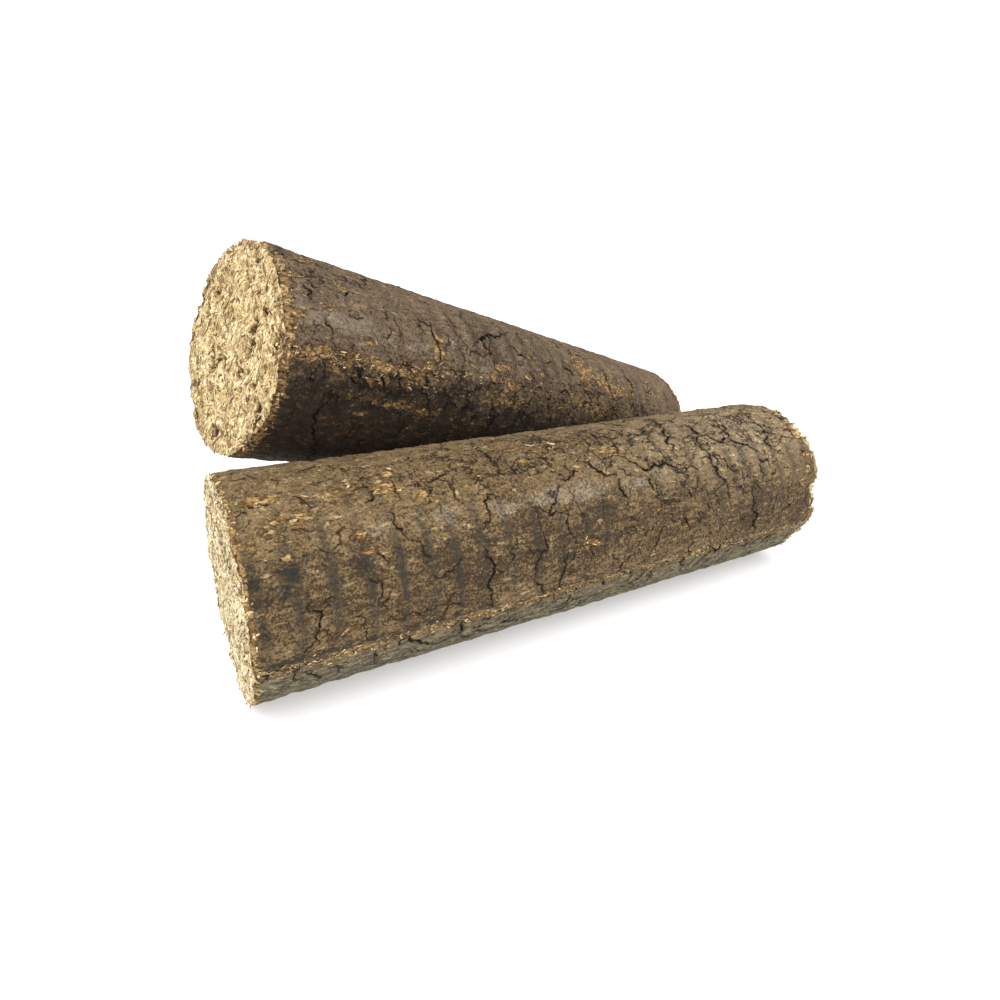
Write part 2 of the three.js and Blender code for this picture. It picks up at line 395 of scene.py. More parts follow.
def ramp(value, low, high, to_low=0.0, to_high=1.0):
    """The value, with low..high stretched smoothly to to_low..to_high."""
    inputs = {"Value": value, "From Min": low, "From Max": high, "To Min": to_low,
              "To Max": to_high}
    return add(tree_of(value), "ShaderNodeMapRange", inputs, interpolation_type="SMOOTHSTEP")


# --- Cracks -----------------------------------------------------------------------------

def around(angle):
    """Millimetres round the log from the line where its skin is closed."""
    return math.radians(angle - CUT_ANGLE) % (2 * math.pi) * LOG_RADIUS


def jagged(corners, rng):
    """A ragged line through the corners, with a point every CRACK_STEP or so."""
    points = np.array(corners, float)
    for _ in range(8):
        steps = np.diff(points, axis=0)
        lengths = np.hypot(*steps.T)
        long = lengths > CRACK_STEP * 1.4
        if not long.any():
            break
        sideways = np.stack([-steps[:, 1], steps[:, 0]], 1) * rng.normal(0, 0.21, (len(steps), 1))
        middles = (points[:-1] + points[1:]) / 2 + sideways
        grown = [points[0]]
        for i in range(len(steps)):
            if long[i]:
                grown.append(middles[i])
            grown.append(points[i + 1])
        points = np.array(grown)
    return points


def crack(width, corners, rng):
    """A crack's middle line, and its half width at each point, which fades to its ends."""
    middle = jagged(corners, rng)
    run = np.linspace(0, 1, len(middle))
    taper = np.minimum(1, 3.2 * np.minimum(run, 1 - run))
    ragged = rng.uniform(0.3, 1.4, len(middle))
    return middle, np.maximum(0.12, 0.54 * width * taper * ragged)


def wandering(start, heading, length, rng):
    """The corners of a random crack."""
    corners = [start]
    while length > 0:
        step = rng.uniform(2.5, 6.0)
        heading += rng.normal(0, 0.42)
        last = corners[-1]
        corners.append((last[0] + step * math.cos(heading), last[1] + step * math.sin(heading)))
        length -= step
    return corners


def random_cracks(log, rng):
    """Small cracks all over the skin, and large ones on the sides that have none drawn."""
    made = []
    low, high = (around(angle) for angle in log["drawn_angles"])
    for _ in range(260):
        start = (rng.uniform(2, LOG_LENGTH - 2), rng.uniform(2, GIRTH - 2))
        heading = rng.choice([math.pi / 2, -math.pi / 2, 0.3, 2.6], p=[0.4, 0.3, 0.15, 0.15])
        hidden = not low < start[1] < high
        large = hidden and rng.random() < 0.4
        length = rng.uniform(9, 30) if large else rng.uniform(2, 8)
        width = rng.uniform(0.5, 1.2) if large else rng.uniform(0.2, 0.45)
        made.append((width, wandering(start, heading, length, rng)))
    return made


def strip_cracks(log, rng):
    """Short slanting cracks below both seams, where the strip of smooth skin is."""
    made = []
    for _ in range(log["strip_cracks"]):
        along = rng.uniform(4, LOG_LENGTH - 4)
        below = seam_angle(log, along) - rng.uniform(3, 22) + rng.choice([0, 180])
        heading = rng.choice([-0.9, -2.2, -1.5, 0.2]) + rng.normal(0, 0.25)
        corners = wandering((along, around(below)), heading, rng.uniform(3, 9), rng)
        made.append((rng.uniform(0.4, 1.0), corners))
    return made


def seam_gaps(log, rng):
    """Short dark gaps along both seams."""
    made = []
    for side in (0, 180):
        along = rng.uniform(2, 10)
        while along < LOG_LENGTH - 8:
            length = rng.uniform(3, 11)
            angles = seam_angle(log, np.array([along, along + length])) + side
            points = [(along, around(angles[0]) - 0.5), (along + length, around(angles[1]) - 0.5)]
            made.append((rng.uniform(0.4, 0.9), points))
            along += length + rng.uniform(2, 16)
    return made


def all_cracks(log, rng):
    """Every crack of a log as (middle line, half widths), in mm along and mm around."""
    drawn = [(width, [(s, around(a)) for s, a in corners]) for width, corners in log["cracks"]]
    made = []
    strewn = seam_gaps(log, rng) + random_cracks(log, rng) + strip_cracks(log, rng)
    for width, corners in drawn + strewn:
        middle, half = crack(width, corners, rng)
        inside = ((middle > 1.6) & (middle < [LOG_LENGTH - 1.6, GIRTH - 1.6])).all(1)
        if inside.sum() > 3:
            made.append((middle[inside], half[inside]))
    return made


# --- The mesh of a log ------------------------------------------------------------------

def seam_angle(log, along):
    near, far = log["seam"]
    return near + (far - near) * np.minimum(1, along / 120)


def lips(middle, half):
    """The crack's two edges, either side of its middle line."""
    ahead = np.gradient(middle, axis=0)
    ahead /= np.maximum(1e-6, np.hypot(*ahead.T))[:, None]
    sideways = np.stack([-ahead[:, 1], ahead[:, 0]], 1) * half[:, None]
    return middle + sideways, middle - sideways


def nearest_crack(cracks):
    """A search tree of all the cracks' middle points, and their half widths."""
    points = np.concatenate([middle for middle, _ in cracks])
    halves = np.concatenate([half for _, half in cracks])
    tree = kdtree.KDTree(len(points))
    for i, (s, t) in enumerate(points):
        tree.insert((s, t, 0), i)
    tree.balance()
    return tree, halves


def skin_sheet(cracks, tree, halves, rng):
    """The skin before it is rolled up: points (mm along, mm around) and triangles."""
    columns = round(LOG_LENGTH / SKIN_PITCH)
    s, t = np.meshgrid(np.linspace(0, LOG_LENGTH, columns + 1),
                       np.linspace(0, GIRTH, SKIN_ROWS + 1))
    grid = np.stack([s.ravel(), t.ravel()], 1)
    edge = (grid[:, 0] == 0) | (grid[:, 0] == LOG_LENGTH) | (grid[:, 1] == 0)
    edge |= grid[:, 1] == GIRTH
    grid[~edge] += rng.uniform(-0.4, 0.4, (int((~edge).sum()), 2)) * SKIN_PITCH
    clear = []
    for point, on_edge in zip(grid, edge):
        _, i, away = tree.find((point[0], point[1], 0))
        clear.append(on_edge or away > halves[i] + 0.45)
    points = [grid[np.array(clear)]]
    lines, count = [], len(points[0])
    for middle, half in cracks:
        for line in (middle, *lips(middle, half)):
            points.append(line)
            lines += [(count + i, count + i + 1) for i in range(len(line) - 1)]
            count += len(line)
    flat = np.clip(np.concatenate(points), 0, [LOG_LENGTH, GIRTH])
    result = geometry.delaunay_2d_cdt([Vector(p) for p in flat.tolist()], lines, [], 0, 0.004)
    return np.array([v[:] for v in result[0]]), np.array(result[2])


def face_disc(rng):
    """An end face: points (across, up) in mm with its rim first, and triangles."""
    angles = np.radians(CUT_ANGLE) + 2 * np.pi * np.arange(SKIN_ROWS) / SKIN_ROWS
    rim = np.stack([-np.cos(angles), np.sin(angles)], 1) * LOG_RADIUS
    pitch = 1.05
    x, y = np.meshgrid(np.arange(-LOG_RADIUS, LOG_RADIUS, pitch),
                       np.arange(-LOG_RADIUS, LOG_RADIUS, pitch * 0.87))
    x[::2] += pitch / 2
    inner = np.stack([x.ravel(), y.ravel()], 1)
    inner = inner[np.hypot(*inner.T) < LOG_RADIUS - 0.8]
    inner += rng.uniform(-0.3, 0.3, inner.shape)
    border = [(i, (i + 1) % SKIN_ROWS) for i in range(SKIN_ROWS)]
    points = np.concatenate([rim, inner])
    result = geometry.delaunay_2d_cdt([Vector(p) for p in points.tolist()], border, [], 0, 1e-4)
    return np.array([v[:] for v in result[0]]), np.array(result[2])


def sheet_map(corners):
    """Where the skin lies in the log's flat map."""
    return corners * [0.76 / LOG_LENGTH, 0.995 / GIRTH] + [0.0, 0.0025]


def disc_map(corners, end):
    """Where an end face lies in the log's flat map, beside the skin."""
    middle = [0.885, 0.25 if end == 0 else 0.75]
    return corners * (0.11 / LOG_RADIUS) + middle


def hidden_twin(table):
    """The same patches on the far side of the log, mirrored and shifted along."""
    return [((LOG_LENGTH * 1.37 - middle) % LOG_LENGTH, 200 - angle, *size, strength * 0.8)
            for middle, angle, *size, strength in table]


def patches(along, angle, table):
    """How strongly each point lies in the table's patches or their twins, from 0 up."""
    strength = np.zeros(len(along))
    for middle, middle_angle, half_length, half_angle, most in table + hidden_twin(table):
        off = (angle - middle_angle + 180) % 360 - 180
        away = ((along - middle) / half_length) ** 2 + (off / half_angle) ** 2
        strength = np.maximum(strength, most * np.exp(-0.8 * away))
    return strength


def face_pits(log, places, rng):
    """How deep each point of a face lies in a pit or in the near face's crease, 0 to 1."""
    near = places[:, 0] < LOG_LENGTH / 2
    pits = [(*pit, near) for pit in log["face_pits"]]
    for _ in range(30):
        spot = rng.uniform(-39, 39, 2)
        pits.append((spot[0], spot[1], rng.uniform(0.8, 2.0), np.ones(len(places))))
    crease = jagged(log["face_crease"], rng)
    pits += [(y, z, 1.0, near) for y, z in crease]
    deep = np.zeros(len(places))
    for y, z, size, where in pits:
        off = np.hypot(places[:, 1] - y, (places[:, 2] - z) * 0.75)
        deep = np.maximum(deep, np.exp(-(off / size) ** 4) * where)
    return deep


def stroke_rings(along, angle):
    """1 in the groove that each push of the press leaves, 0 between the grooves."""
    leaning = along - STROKE_PITCH / 2 - STROKE_SLANT * (np.cos(np.radians(angle - 15)) - 1)
    wobble = 1.1 * np.sin(along * 0.071 + 1.3) + 0.8 * np.sin(np.radians(angle * 2))
    off = (leaning + wobble + STROKE_PITCH / 2) % STROKE_PITCH - STROKE_PITCH / 2
    return np.exp(-(off / STROKE_WIDTH) ** 2)


def roll_up(sheet, triangles):
    """Places in mm for the points of the sheet, and its triangles closed round the log."""
    first_row = {round(s, 3): i for i, (s, t) in enumerate(sheet) if t < 1e-3}
    target = np.arange(len(sheet))
    for i in np.flatnonzero(sheet[:, 1] > GIRTH - 1e-3):
        target[i] = first_row[round(sheet[i, 0], 3)]
    angle = np.degrees(sheet[:, 1] / LOG_RADIUS) + CUT_ANGLE
    radial = np.stack([np.zeros(len(sheet)), -np.cos(np.radians(angle)),
                       np.sin(np.radians(angle))], 1)
    places = radial * LOG_RADIUS + np.outer(sheet[:, 0], [1, 0, 0])
    return places, target, target[triangles]


def crack_maps(sheet, tree, halves, pad):
    """How deep in a crack and how near one each point lies; the faces' points have none."""
    found = [tree.find((s, t, 0)) for s, t in sheet]
    away = np.array([f[2] for f in found])
    half = halves[[f[1] for f in found]]
    maps = {
        "crack": np.clip(1.35 - away / half, 0, 1),
        "crack_depth": np.clip(1 - away / half, 0, 1) * (0.5 + 2.2 * half),
        "near_crack": np.exp(-np.maximum(0, away - half) / 0.8),
    }
    return {name: np.concatenate([values, pad]) for name, values in maps.items()}


def skin_and_face_maps(log, places, on_face, rng):
    """The maps that say where a log is ringed, torn, charred, worn and so on."""
    along = places[:, 0]
    angle = np.degrees(np.arctan2(places[:, 2], -places[:, 1]))
    on_skin = ~on_face
    from_seam = [(angle - seam_angle(log, along) - side + 180) % 360 - 180 for side in (0, 180)]
    seam_off = np.where(np.abs(from_seam[0]) < np.abs(from_seam[1]), *from_seam)
    seam_mm = np.radians(seam_off) * LOG_RADIUS
    seam_left = np.interp(along, *log["seam_strength"])
    reach = np.hypot(places[:, 1], places[:, 2])
    to_end = np.minimum(along, LOG_LENGTH - along)
    pit = face_pits(log, places, rng)
    rim = np.where(on_face, np.clip((reach - LOG_RADIUS + 4) / 3, 0, 1) * 0.7,
                   np.exp(-(to_end / log["rim_width"]) ** 2))
    names = ("torn", "glaze", "char", "painted_shade", "pale", "netted", "ringed")
    laid = {name: patches(along, angle, log[name]) for name in names}
    return {
        "stroke": stroke_rings(along, angle) * on_skin,
        "seam": np.exp(-(seam_mm / SEAM_WIDTH) ** 2) * seam_left * on_skin,
        "below": np.exp(-((seam_mm + 17) / 15) ** 4) * (seam_mm < 0) * on_skin,
        "torn": laid["torn"] * on_skin,
        "shreds": np.clip(1.7 * laid["torn"] - 0.7, 0, 1) * on_skin,
        # glaze patches, which also carry a painted sheen
        "glaze": laid["glaze"],
        "char": laid["char"],
        "greyed": laid["pale"],
        "netted": laid["netted"],
        "ringed": laid["ringed"],
        # painted shade, lessened where the pale patches lie
        "painted_shade": laid["painted_shade"] - laid["pale"],
        "face": on_face * 1.0,
        "inner_face": on_face * np.clip((LOG_RADIUS - 1.6 - reach) / 2, 0, 1) * (1 - pit),
        "middle_face": on_face * np.clip((LOG_RADIUS - 3.5 - reach) / 2, 0, 1) * (1 - pit),
        "pit": on_face * pit,
        "rim": rim,
        "crumbly": np.clip(1.8 * rim - 0.8, 0, 1),
        "from_near": along,
        "from_far": LOG_LENGTH - along,
    }


def plain_mesh(name, places, triangles, flat, maps):
    """A mesh of these places in mm and triangles, with its maps and its flat map."""
    corners = places[triangles]
    normals = np.cross(corners[:, 1] - corners[:, 0], corners[:, 2] - corners[:, 0])
    keep = np.linalg.norm(normals, axis=1) > 1e-6
    used, numbers = np.unique(triangles[keep], return_inverse=True)
    mesh = bpy.data.meshes.new(name)
    mesh.from_pydata(places[used] * MM, [], numbers.reshape(-1, 3).tolist())
    for label, values in maps.items():
        layer = mesh.attributes.new(label, "FLOAT", "POINT")
        layer.data.foreach_set("value", np.asarray(values, dtype=np.float32)[used])
    layer = mesh.attributes.new("place", "FLOAT_VECTOR", "POINT")
    layer.data.foreach_set("vector", (places[used] * MM).astype(np.float32).ravel())
    layer = mesh.uv_layers.new(name="OFBake")
    layer.data.foreach_set("uv", flat[keep].astype(np.float32).ravel())
    return mesh


def log_mesh(log):
    """One closed bar with its cracks cut in, and with the maps that its finish reads."""
    rng = np.random.default_rng(log["seed"])
    cracks = all_cracks(log, rng)
    tree, halves = nearest_crack(cracks)
    sheet, skin = skin_sheet(cracks, tree, halves, rng)
    places, target, rolled = roll_up(sheet, skin)

    # The end faces, whose rims are the first and the last column of the sheet. The sheet's
    # triangles have their fronts up, which is outwards once it is rolled.
    triangles, flat = [rolled], [sheet_map(sheet[skin])]
    for end, towards in ((0.0, -1), (LOG_LENGTH, 1)):
        disc, pieces = face_disc(rng)
        column = {round(t, 2): i for i, (s, t) in enumerate(sheet) if abs(s - end) < 1e-3}
        rim = [target[column[round(GIRTH * i / SKIN_ROWS, 2)]] for i in range(SKIN_ROWS)]
        numbers = np.concatenate([rim, len(places) + np.arange(len(disc) - SKIN_ROWS)])
        places = np.concatenate([places, np.insert(disc[SKIN_ROWS:], 0, end, axis=1)])
        triangles.append(numbers[pieces][:, ::towards])
        flat.append(disc_map(disc[pieces][:, ::towards], end))
    on_face = np.arange(len(places)) >= len(sheet)
    maps = crack_maps(sheet, tree, halves, np.zeros(on_face.sum()))
    maps.update(skin_and_face_maps(log, places, on_face, rng))
    return plain_mesh(log["node"] + "_bar", places, np.concatenate(triangles),
                      np.concatenate(flat), maps)


# --- The relief of a log ----------------------------------------------------------------

def tree_with(name, sockets):
    """A geometry tree, the values of its named inputs, and its output node."""
    tree = bpy.data.node_groups.new(name, "GeometryNodeTree")
    tree.interface.new_socket("Geometry", in_out="OUTPUT", socket_type="NodeSocketGeometry")
    for kind, labels in sockets.items():
        for label in labels:
            tree.interface.new_socket(label, in_out="INPUT", socket_type="NodeSocket" + kind)
    given = {socket.name: Value(socket) for socket in tree.nodes.new("NodeGroupInput").outputs}
    return tree, given, tree.nodes.new("NodeGroupOutput")


def named(tree, name, kind="FLOAT"):
    """An attribute of the mesh, by its name or by a string value."""
    return add(tree, "GeometryNodeInputNamedAttribute", {"Name": name}, "Attribute",
               data_type=kind)


def relief_tree():
    """Roughens a smooth bar: rings, seams, cracks, torn places, worn rims, broken faces."""
    tree, given, done = tree_with("log_relief", {
        "Geometry": ["Geometry"],
        "Float": ["Ring depth", "Slick below seam", "Near rim back", "Near rim in",
                  "Near rim ragged", "Far rim back", "Far rim in", "Far rim ragged", "Lowest"],
        "Vector": ["Shift"],
        "Material": ["Bark", "Straw"],
    })
    place = named(tree, "place", "FLOAT_VECTOR")
    here = vector_maths("ADD", place, given["Shift"])
    face = named(tree, "face")

    def lumps(per_mm, size, detail=3.0, roughness=0.6):
        """Noise from -size/2 to size/2 mm."""
        return (noise(here, per_mm, detail, roughness) - 0.5) * size

    # The skin, in mm outwards. It stays within the bore of the die.
    below = named(tree, "below") * given["Slick below seam"]
    grain = lumps(0.36, 1.8, 4.0, 0.7) * ramp(below, 0.0, 1.0, 1.0, 0.45)
    grain *= ramp(named(tree, "glaze"), 0.3, 1.0, 1.0, 0.35)
    ring = given["Ring depth"] * ramp(noise(here, 0.07), 0.35, 0.65, 0.25, 1.4)
    outwards = lumps(0.06, 1.5, 2.0) - 0.55 + grain - named(tree, "stroke") * ring
    outwards += named(tree, "seam") * (lumps(0.3, 2.4) - 0.5) - below * 0.4
    torn = maths("MINIMUM", named(tree, "torn"), 1.0)
    outwards += torn * (lumps(0.42, 3.6, 4.0, 0.7) - 0.55)
    outwards += named(tree, "near_crack") * lumps(0.11, 1.5) - named(tree, "crack_depth")

    # The worn rims draw the skin in, and pieces are missing from them.
    ragged = ramp(noise(here, 0.1, 2.0, 0.5), 0.35, 0.65, -0.5, -1.4)
    missing = ramp(noise(here, 0.085, 4.0, 0.7), 0.47, 0.55)
    lost = 0.0
    for end in ("Near", "Far"):
        away = named(tree, "from_" + end.lower())
        close = maths("SUBTRACT", 1.0, away / given[end + " rim back"], clamp=True)
        outwards += maths("POWER", close, 2.0) * given[end + " rim in"] * ragged
        lost += missing * ramp(away, 0.0, 11.0, 1.0, 0.0) * given[end + " rim ragged"]
    outwards = maths("MINIMUM", outwards, 0.0) * (1.0 - face)
    across = stretched(place, 0.0)
    radial = vector_maths("NORMALIZE", across)
    reach = vector_maths("LENGTH", across, output="Value")

    # The broken faces, in mm inwards, which is along +X at the near end only.
    rough = lumps(0.4, 2.8, 4.0, 0.7) + lumps(0.085, 7.0, 2.0) + named(tree, "pit") * 3.0
    to_rim = maths("POWER", reach / (LOG_RADIUS * MM), 8.0)
    rough = (rough + 0.5) * face * ramp(to_rim, 0.2, 0.9, 1.0, 0.3)
    half = LOG_LENGTH / 2
    sign = ramp(axes(place)[0], (half - 1) * MM, (half + 1) * MM, 1.0, -1.0)
    inwards = (lost * to_rim + rough) * sign

    moved = vector_maths("ADD", place, scaled(radial, outwards * MM))
    moved = vector_maths("ADD", moved, joined(tree, inwards * MM))
    x, y, z = axes(moved)
    above = joined(tree, x, y, maths("MAXIMUM", z, given["Lowest"]))
    shaped = add(tree, "GeometryNodeSetPosition",
                 {"Geometry": given["Geometry"], "Position": above})
    barked = add(tree, "GeometryNodeSetMaterial",
                 {"Geometry": shaped, "Material": given["Bark"]})
    on_face = add(tree, "FunctionNodeCompare", {0: face, 1: 0.2}, data_type="FLOAT",
                  operation="GREATER_THAN")
    ended = add(tree, "GeometryNodeSetMaterial",
                {"Geometry": barked, "Selection": on_face, "Material": given["Straw"]})
    fill(done, {0: ended})
    return tree


def shavings_tree():
    """Strews closed, bent shavings over a mesh, where one of its attributes says."""
    tree, given, done = tree_with("shavings", {
        "Geometry": ["Geometry"],
        "String": ["Where"],
        "Float": ["Per square cm", "Length", "Width", "Thickness", "Tilt", "Turn", "Rise",
                  "Bend", "Cells"],
        "Vector": ["Grain"],
        "Int": ["Seed"],
        "Material": ["Material"],
    })
    seed, tilt, turn = given["Seed"], given["Tilt"], given["Turn"]

    def chance(low, high, salt):
        """A random number for each shaving."""
        return add(tree, "FunctionNodeRandomValue", {2: low, 3: high, 8: seed + salt}, 1,
                   data_type="FLOAT")

    def stored(shape, name, value, kind="FLOAT", domain="POINT"):
        """The shape with a value kept on it under a name."""
        return add(tree, "GeometryNodeStoreNamedAttribute",
                   {"Geometry": shape, "Name": name, "Value": value},
                   data_type=kind, domain=domain)

    wanted = maths("MULTIPLY", named(tree, given["Where"]), 1.0, clamp=True)
    density = given["Per square cm"] * 1e4 * wanted
    strewn = new_node(tree, "GeometryNodeDistributePointsOnFaces",
                      {"Mesh": given["Geometry"], "Density": density, "Seed": seed},
                      distribute_method="RANDOM").outputs
    points = stored(Value(strewn["Points"]), "tone", chance(0.0, 1.0, 1))
    points = stored(points, "cell", add(tree, "GeometryNodeInputIndex", {}))
    lying = add(tree, "FunctionNodeAlignRotationToVector",
                {"Rotation": Value(strewn["Rotation"]), "Vector": given["Grain"]},
                axis="X", pivot_axis="Z")
    twist = joined(tree, chance(tilt * -1.0, tilt, 2), chance(tilt * -1.0, tilt, 3),
                   chance(turn * -1.0, turn, 4))
    twist = add(tree, "FunctionNodeEulerToRotation", {"Euler": twist})
    turned = add(tree, "FunctionNodeRotateRotation", {"Rotation": lying, "Rotate By": twist},
                 rotation_space="LOCAL")
    size = joined(tree, given["Length"] * maths("POWER", chance(0.55, 1.25, 5), 2.0),
                  given["Width"] * chance(0.45, 1.5, 6), given["Thickness"] * chance(0.6, 1.4, 7))

    grain = add(tree, "GeometryNodeMeshIcoSphere", {"Radius": 0.5, "Subdivisions": 1})
    grain = stored(grain, "spread", add(tree, "GeometryNodeInputPosition", {}), "FLOAT_VECTOR")
    many = add(tree, "GeometryNodeInstanceOnPoints",
               {"Points": points, "Instance": grain, "Rotation": turned, "Scale": size})
    rise = joined(tree, 0.0, 0.0, given["Rise"] * MM)
    many = add(tree, "GeometryNodeTranslateInstances",
               {"Instances": many, "Translation": rise, "Local Space": True})
    real = add(tree, "GeometryNodeRealizeInstances", {"Geometry": many})

    # Each shaving is bent by noise, so that no two are alike.
    swirl = noise(add(tree, "GeometryNodeInputPosition", {}), 0.42, 1.0, 0.5, output="Color")
    bent = scaled(vector_maths("SUBTRACT", swirl, (0.5, 0.5, 0.5)), given["Bend"] * MM)
    real = add(tree, "GeometryNodeSetPosition", {"Geometry": real, "Offset": bent})

    # Each shaving has a small cell of its own in the map.
    cell, cells = named(tree, "cell"), given["Cells"]
    column = maths("FLOORED_MODULO", cell, cells)
    row = maths("FLOORED_MODULO", maths("FLOOR", cell / cells), cells)
    x, y, _ = axes(named(tree, "spread", "FLOAT_VECTOR"))
    flat = joined(tree, (column + (x * 0.5 + 0.5)) / cells, (row + (y * 0.5 + 0.5)) / cells)
    real = stored(real, "OFBake", flat, "FLOAT2", "CORNER")
    coloured = add(tree, "GeometryNodeSetMaterial",
                   {"Geometry": real, "Material": given["Material"]})
    fill(done, {0: coloured})
    return tree


def new_object(name, data):
    """An object of this data, in the scene."""
    made = bpy.data.objects.new(name, data)
    bpy.context.scene.collection.objects.link(made)
    return made


def run_tree(source, tree, values, name):
    """The plain mesh that a tree makes of an object, as a new object."""
    modifier = source.modifiers.new(tree.name, "NODES")
    modifier.node_group = tree
    for item in tree.interface.items_tree:
        if item.in_out == "INPUT" and item.name in values:
            modifier[item.identifier] = values[item.name]
    bpy.context.view_layer.update()
    evaluated = source.evaluated_get(bpy.context.evaluated_depsgraph_get())
    mesh = bpy.data.meshes.new_from_object(evaluated)
    source.modifiers.remove(modifier)
    mesh.name = name
    return new_object(name, mesh)


# --- Finishes ---------------------------------------------------------------------------

def colour(red, green, blue):
    """A colour given as on a paint card, 0 to 255, for the shader's linear light."""
    def linear(part):
        part /= 255
        return part / 12.92 if part <= 0.04045 else ((part + 0.055) / 1.055) ** 2.4
    return (linear(red), linear(green), linear(blue), 1.0)


def palette(**cards):
    """Named colours."""
    return {name: colour(*card) for name, card in cards.items()}


def shades(*cards):
    """Colours in order."""
    return [colour(*card) for card in cards]


def finish_tree(name):
    """A new material, its tree and its shader."""
    material = bpy.data.materials.new(name)
    material.use_nodes = True
    return material, material.node_tree, material.node_tree.nodes["Principled BSDF"]


def map_of(tree, name, output="Fac"):
    """A named map of the piece."""
    return add(tree, "ShaderNodeAttribute", {}, output, attribute_name=name)


def mixed(amount, under, over):
    """One colour over another, by an amount from 0 to 1."""
    return add(tree_of(amount, under), "ShaderNodeMix", {0: amount, 6: under, 7: over}, 2,
               data_type="RGBA")


def bumps(height, deep, strength=1.0):
    """The relief that is too fine for the mesh, so many mm deep."""
    return add(tree_of(height), "ShaderNodeBump",
               {"Strength": strength, "Distance": deep * MM, "Height": height})


def frayed(place, per_mm, amount):
    """The place, pushed about by noise of so many lumps to the millimetre, up to so many mm."""
    wander = noise(place, per_mm, 4.0, 0.7, output="Color")
    off = vector_maths("SUBTRACT", wander, (0.5, 0.5, 0.5))
    return vector_maths("ADD", place, scaled(off, 2 * amount * MM))


def grains(place, per_mm):
    """A random grey for each angular grain, so many to the millimetre."""
    ragged = frayed(place, 1.6 * per_mm, 0.55 / per_mm)
    cells = add(tree_of(place), "ShaderNodeTexVoronoi",
                {"Vector": ragged, "Scale": per_mm / MM}, "Color")
    return add(tree_of(place), "ShaderNodeSeparateColor", {"Color": cells}, "Red")


def net_of(place, per_mm, wide):
    """1 on the ragged gaps between plates, and 0 beyond so many mm from their middle."""
    ragged = frayed(place, 3.0 * per_mm, 0.5 / per_mm)
    away = add(tree_of(place), "ShaderNodeTexVoronoi",
               {"Vector": ragged, "Scale": per_mm / MM}, "Distance", feature="DISTANCE_TO_EDGE")
    edge = wide * per_mm
    return ramp(away, edge * 0.4, edge, 1.0, 0.0)


def hairlines(tree, place):
    """Two nets of fine cracks, here thick and there thin, where the skin is netted, drawn as dark
    lines of painted shade.
    """
    thick = ramp(noise(place, 0.35, 3.0, 0.7), 0.4, 0.62, 0.14, 0.8)
    where = (noise(place, 0.05, 4.0, 0.65) - 0.5) * 2.5 + map_of(tree, "netted")
    large = net_of(stretched(place, 0.7), 0.075, thick) * ramp(where, 0.35, 0.5)
    small = net_of(place, 0.15, thick * 0.6) * ramp(where, 0.8, 1.0)
    return maths("MAXIMUM", large, small)


def steps_of(value, colours):
    """The value as a colour, from the first colour to the last, evenly."""
    node = new_node(tree_of(value), "ShaderNodeValToRGB", {"Fac": value})
    band = node.color_ramp
    while len(band.elements) < len(colours):
        band.elements.new(0.5)
    for i, shade in enumerate(colours):
        band.elements[i].position = i / (len(colours) - 1)
        band.elements[i].color = shade
    return Value(node.outputs["Color"])


def bark_dust(tree, place, tones, maps):
    """Pressed bark dust: grains light and dark, in clouds, with flecks of fibre and small pits
    painted dark as their shade.
    """
    # painted shade: darker tones, and fewer flecks, where the painted shade patches lie
    painted_shade = map_of(tree, "painted_shade")
    tone = (noise(place, 0.05, 3.0, 0.6) - 0.5) * 0.6 + 0.06
    tone += maps["mottle"] * 0.28 + maps["dust"] * 1.05 + maps["fine"] * 0.5
    tone += maps["coarse"] * 0.28 - painted_shade * 0.17
    steps = ("soot", "dark", "mid", "mid", "light", "grain")
    base = steps_of(tone, [tones[name] for name in steps])
    # paler and greyer where the pale patches lie
    base = mixed(map_of(tree, "greyed") * 0.28, base, tones["weathered"])
    flecks = ramp(grains(maps["length_wise"], 0.9), 0.86, 0.93) * ramp(maps["mottle"], 0.0, 0.1)
    base = mixed(flecks * ramp(painted_shade, 0.0, 2.0, 0.7, 0.4), base, tones["grain"])
    # painted shade: small pits are painted dark
    pits = ramp(grains(place, 0.9), 0.12, 0.05) * ramp(maps["edge"], -0.1, 0.06)
    return mixed(pits * 0.72, base, tones["crack"])


def strip_with_painted_sheen(tones, maps):
    """The smoother skin below the seam, painted greyer as a reflection of the white floor."""
    tone = maps["mottle"] * 1.5 + maps["dust"] * 1.4 + maps["fine"] * 0.5 + maps["coarse"] * 0.5
    return steps_of(tone, [tones["strip_dark"], tones["strip"], tones["strip_light"]])


def torn_fibres(tree, place, tones, maps):
    """Where the skin is torn open, and the colour of the fibres that show there."""
    crumbs = stretched(place, 0.62)
    shreds = grains(crumbs, 1.0) * 0.7 - 0.28 + maps["fibre"]
    # painted shade: the darkest gaps between the fibres take the crack colour
    steps = ("crack", "fibre_dark", "fibre", "fibre_light")
    straw = steps_of(shreds, [tones[name] for name in steps])
    # painted shade: the fibres are darker where the painted shade patches lie
    shade = ramp(map_of(tree, "painted_shade"), 0.0, 2.0) * 0.45
    straw = mixed(shade, straw, tones["fibre_dark"])
    torn = map_of(tree, "torn") * ramp(net_of(place, 0.1, 2.0), 0.0, 0.8, 0.6, 1.5)
    by_cracks = map_of(tree, "near_crack") * ramp(maps["edge"], 0.0, 0.16, 0.0, 0.8)
    for other in (map_of(tree, "seam"), by_cracks, map_of(tree, "rim") * 1.25):
        torn = maths("MAXIMUM", torn, other)
    ragged = (noise(crumbs, 0.5, 6.0, 0.8) - 0.5) * 2.6
    return ramp(ragged + torn, 0.66, 0.92), straw


